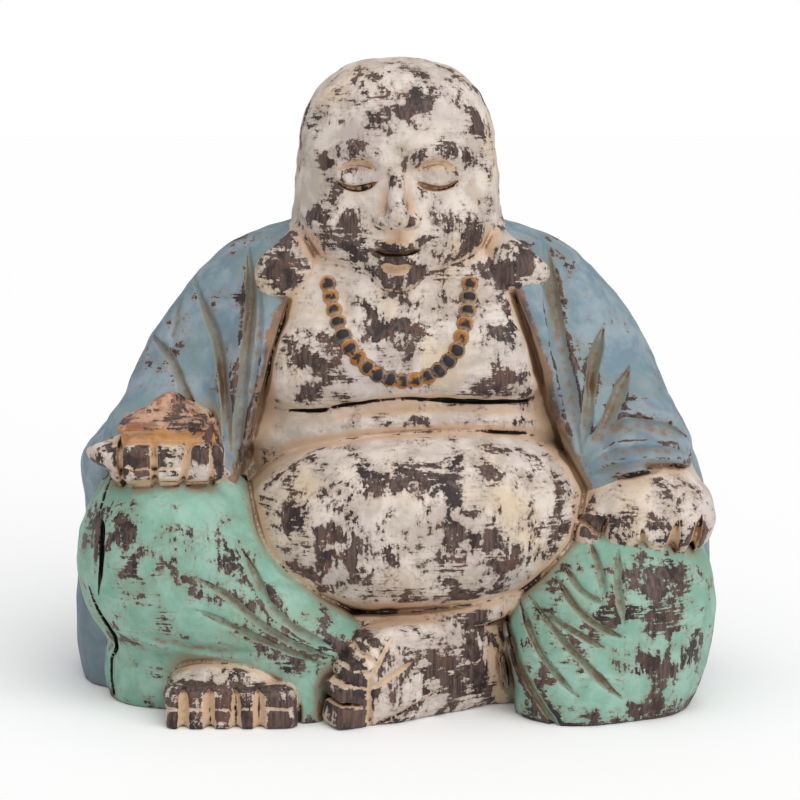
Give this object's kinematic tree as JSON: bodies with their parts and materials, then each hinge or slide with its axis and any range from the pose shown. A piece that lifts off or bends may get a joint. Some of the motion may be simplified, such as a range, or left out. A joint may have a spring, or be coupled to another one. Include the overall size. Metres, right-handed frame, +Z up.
{
  "type": "seated budai figure",
  "caption": "Seated Budai carved from one block of wood: open robe, round belly, bead necklace and an ingot in one hand, with worn cream, blue and green paint.",
  "frame": {"origin": "the middle of the flat underside, on the floor", "axes": "+Z up, -Y the way the figure faces, +X to the viewer's right"},
  "size_m": [0.624, 0.3532, 0.5999],
  "materials": {
    "painted_wood": "matt distressed paint, rubbed through to dark brown wood"
  },
  "bodies": {
    "root": {"budai_figure": "painted_wood"}
  },
  "joints": []
}
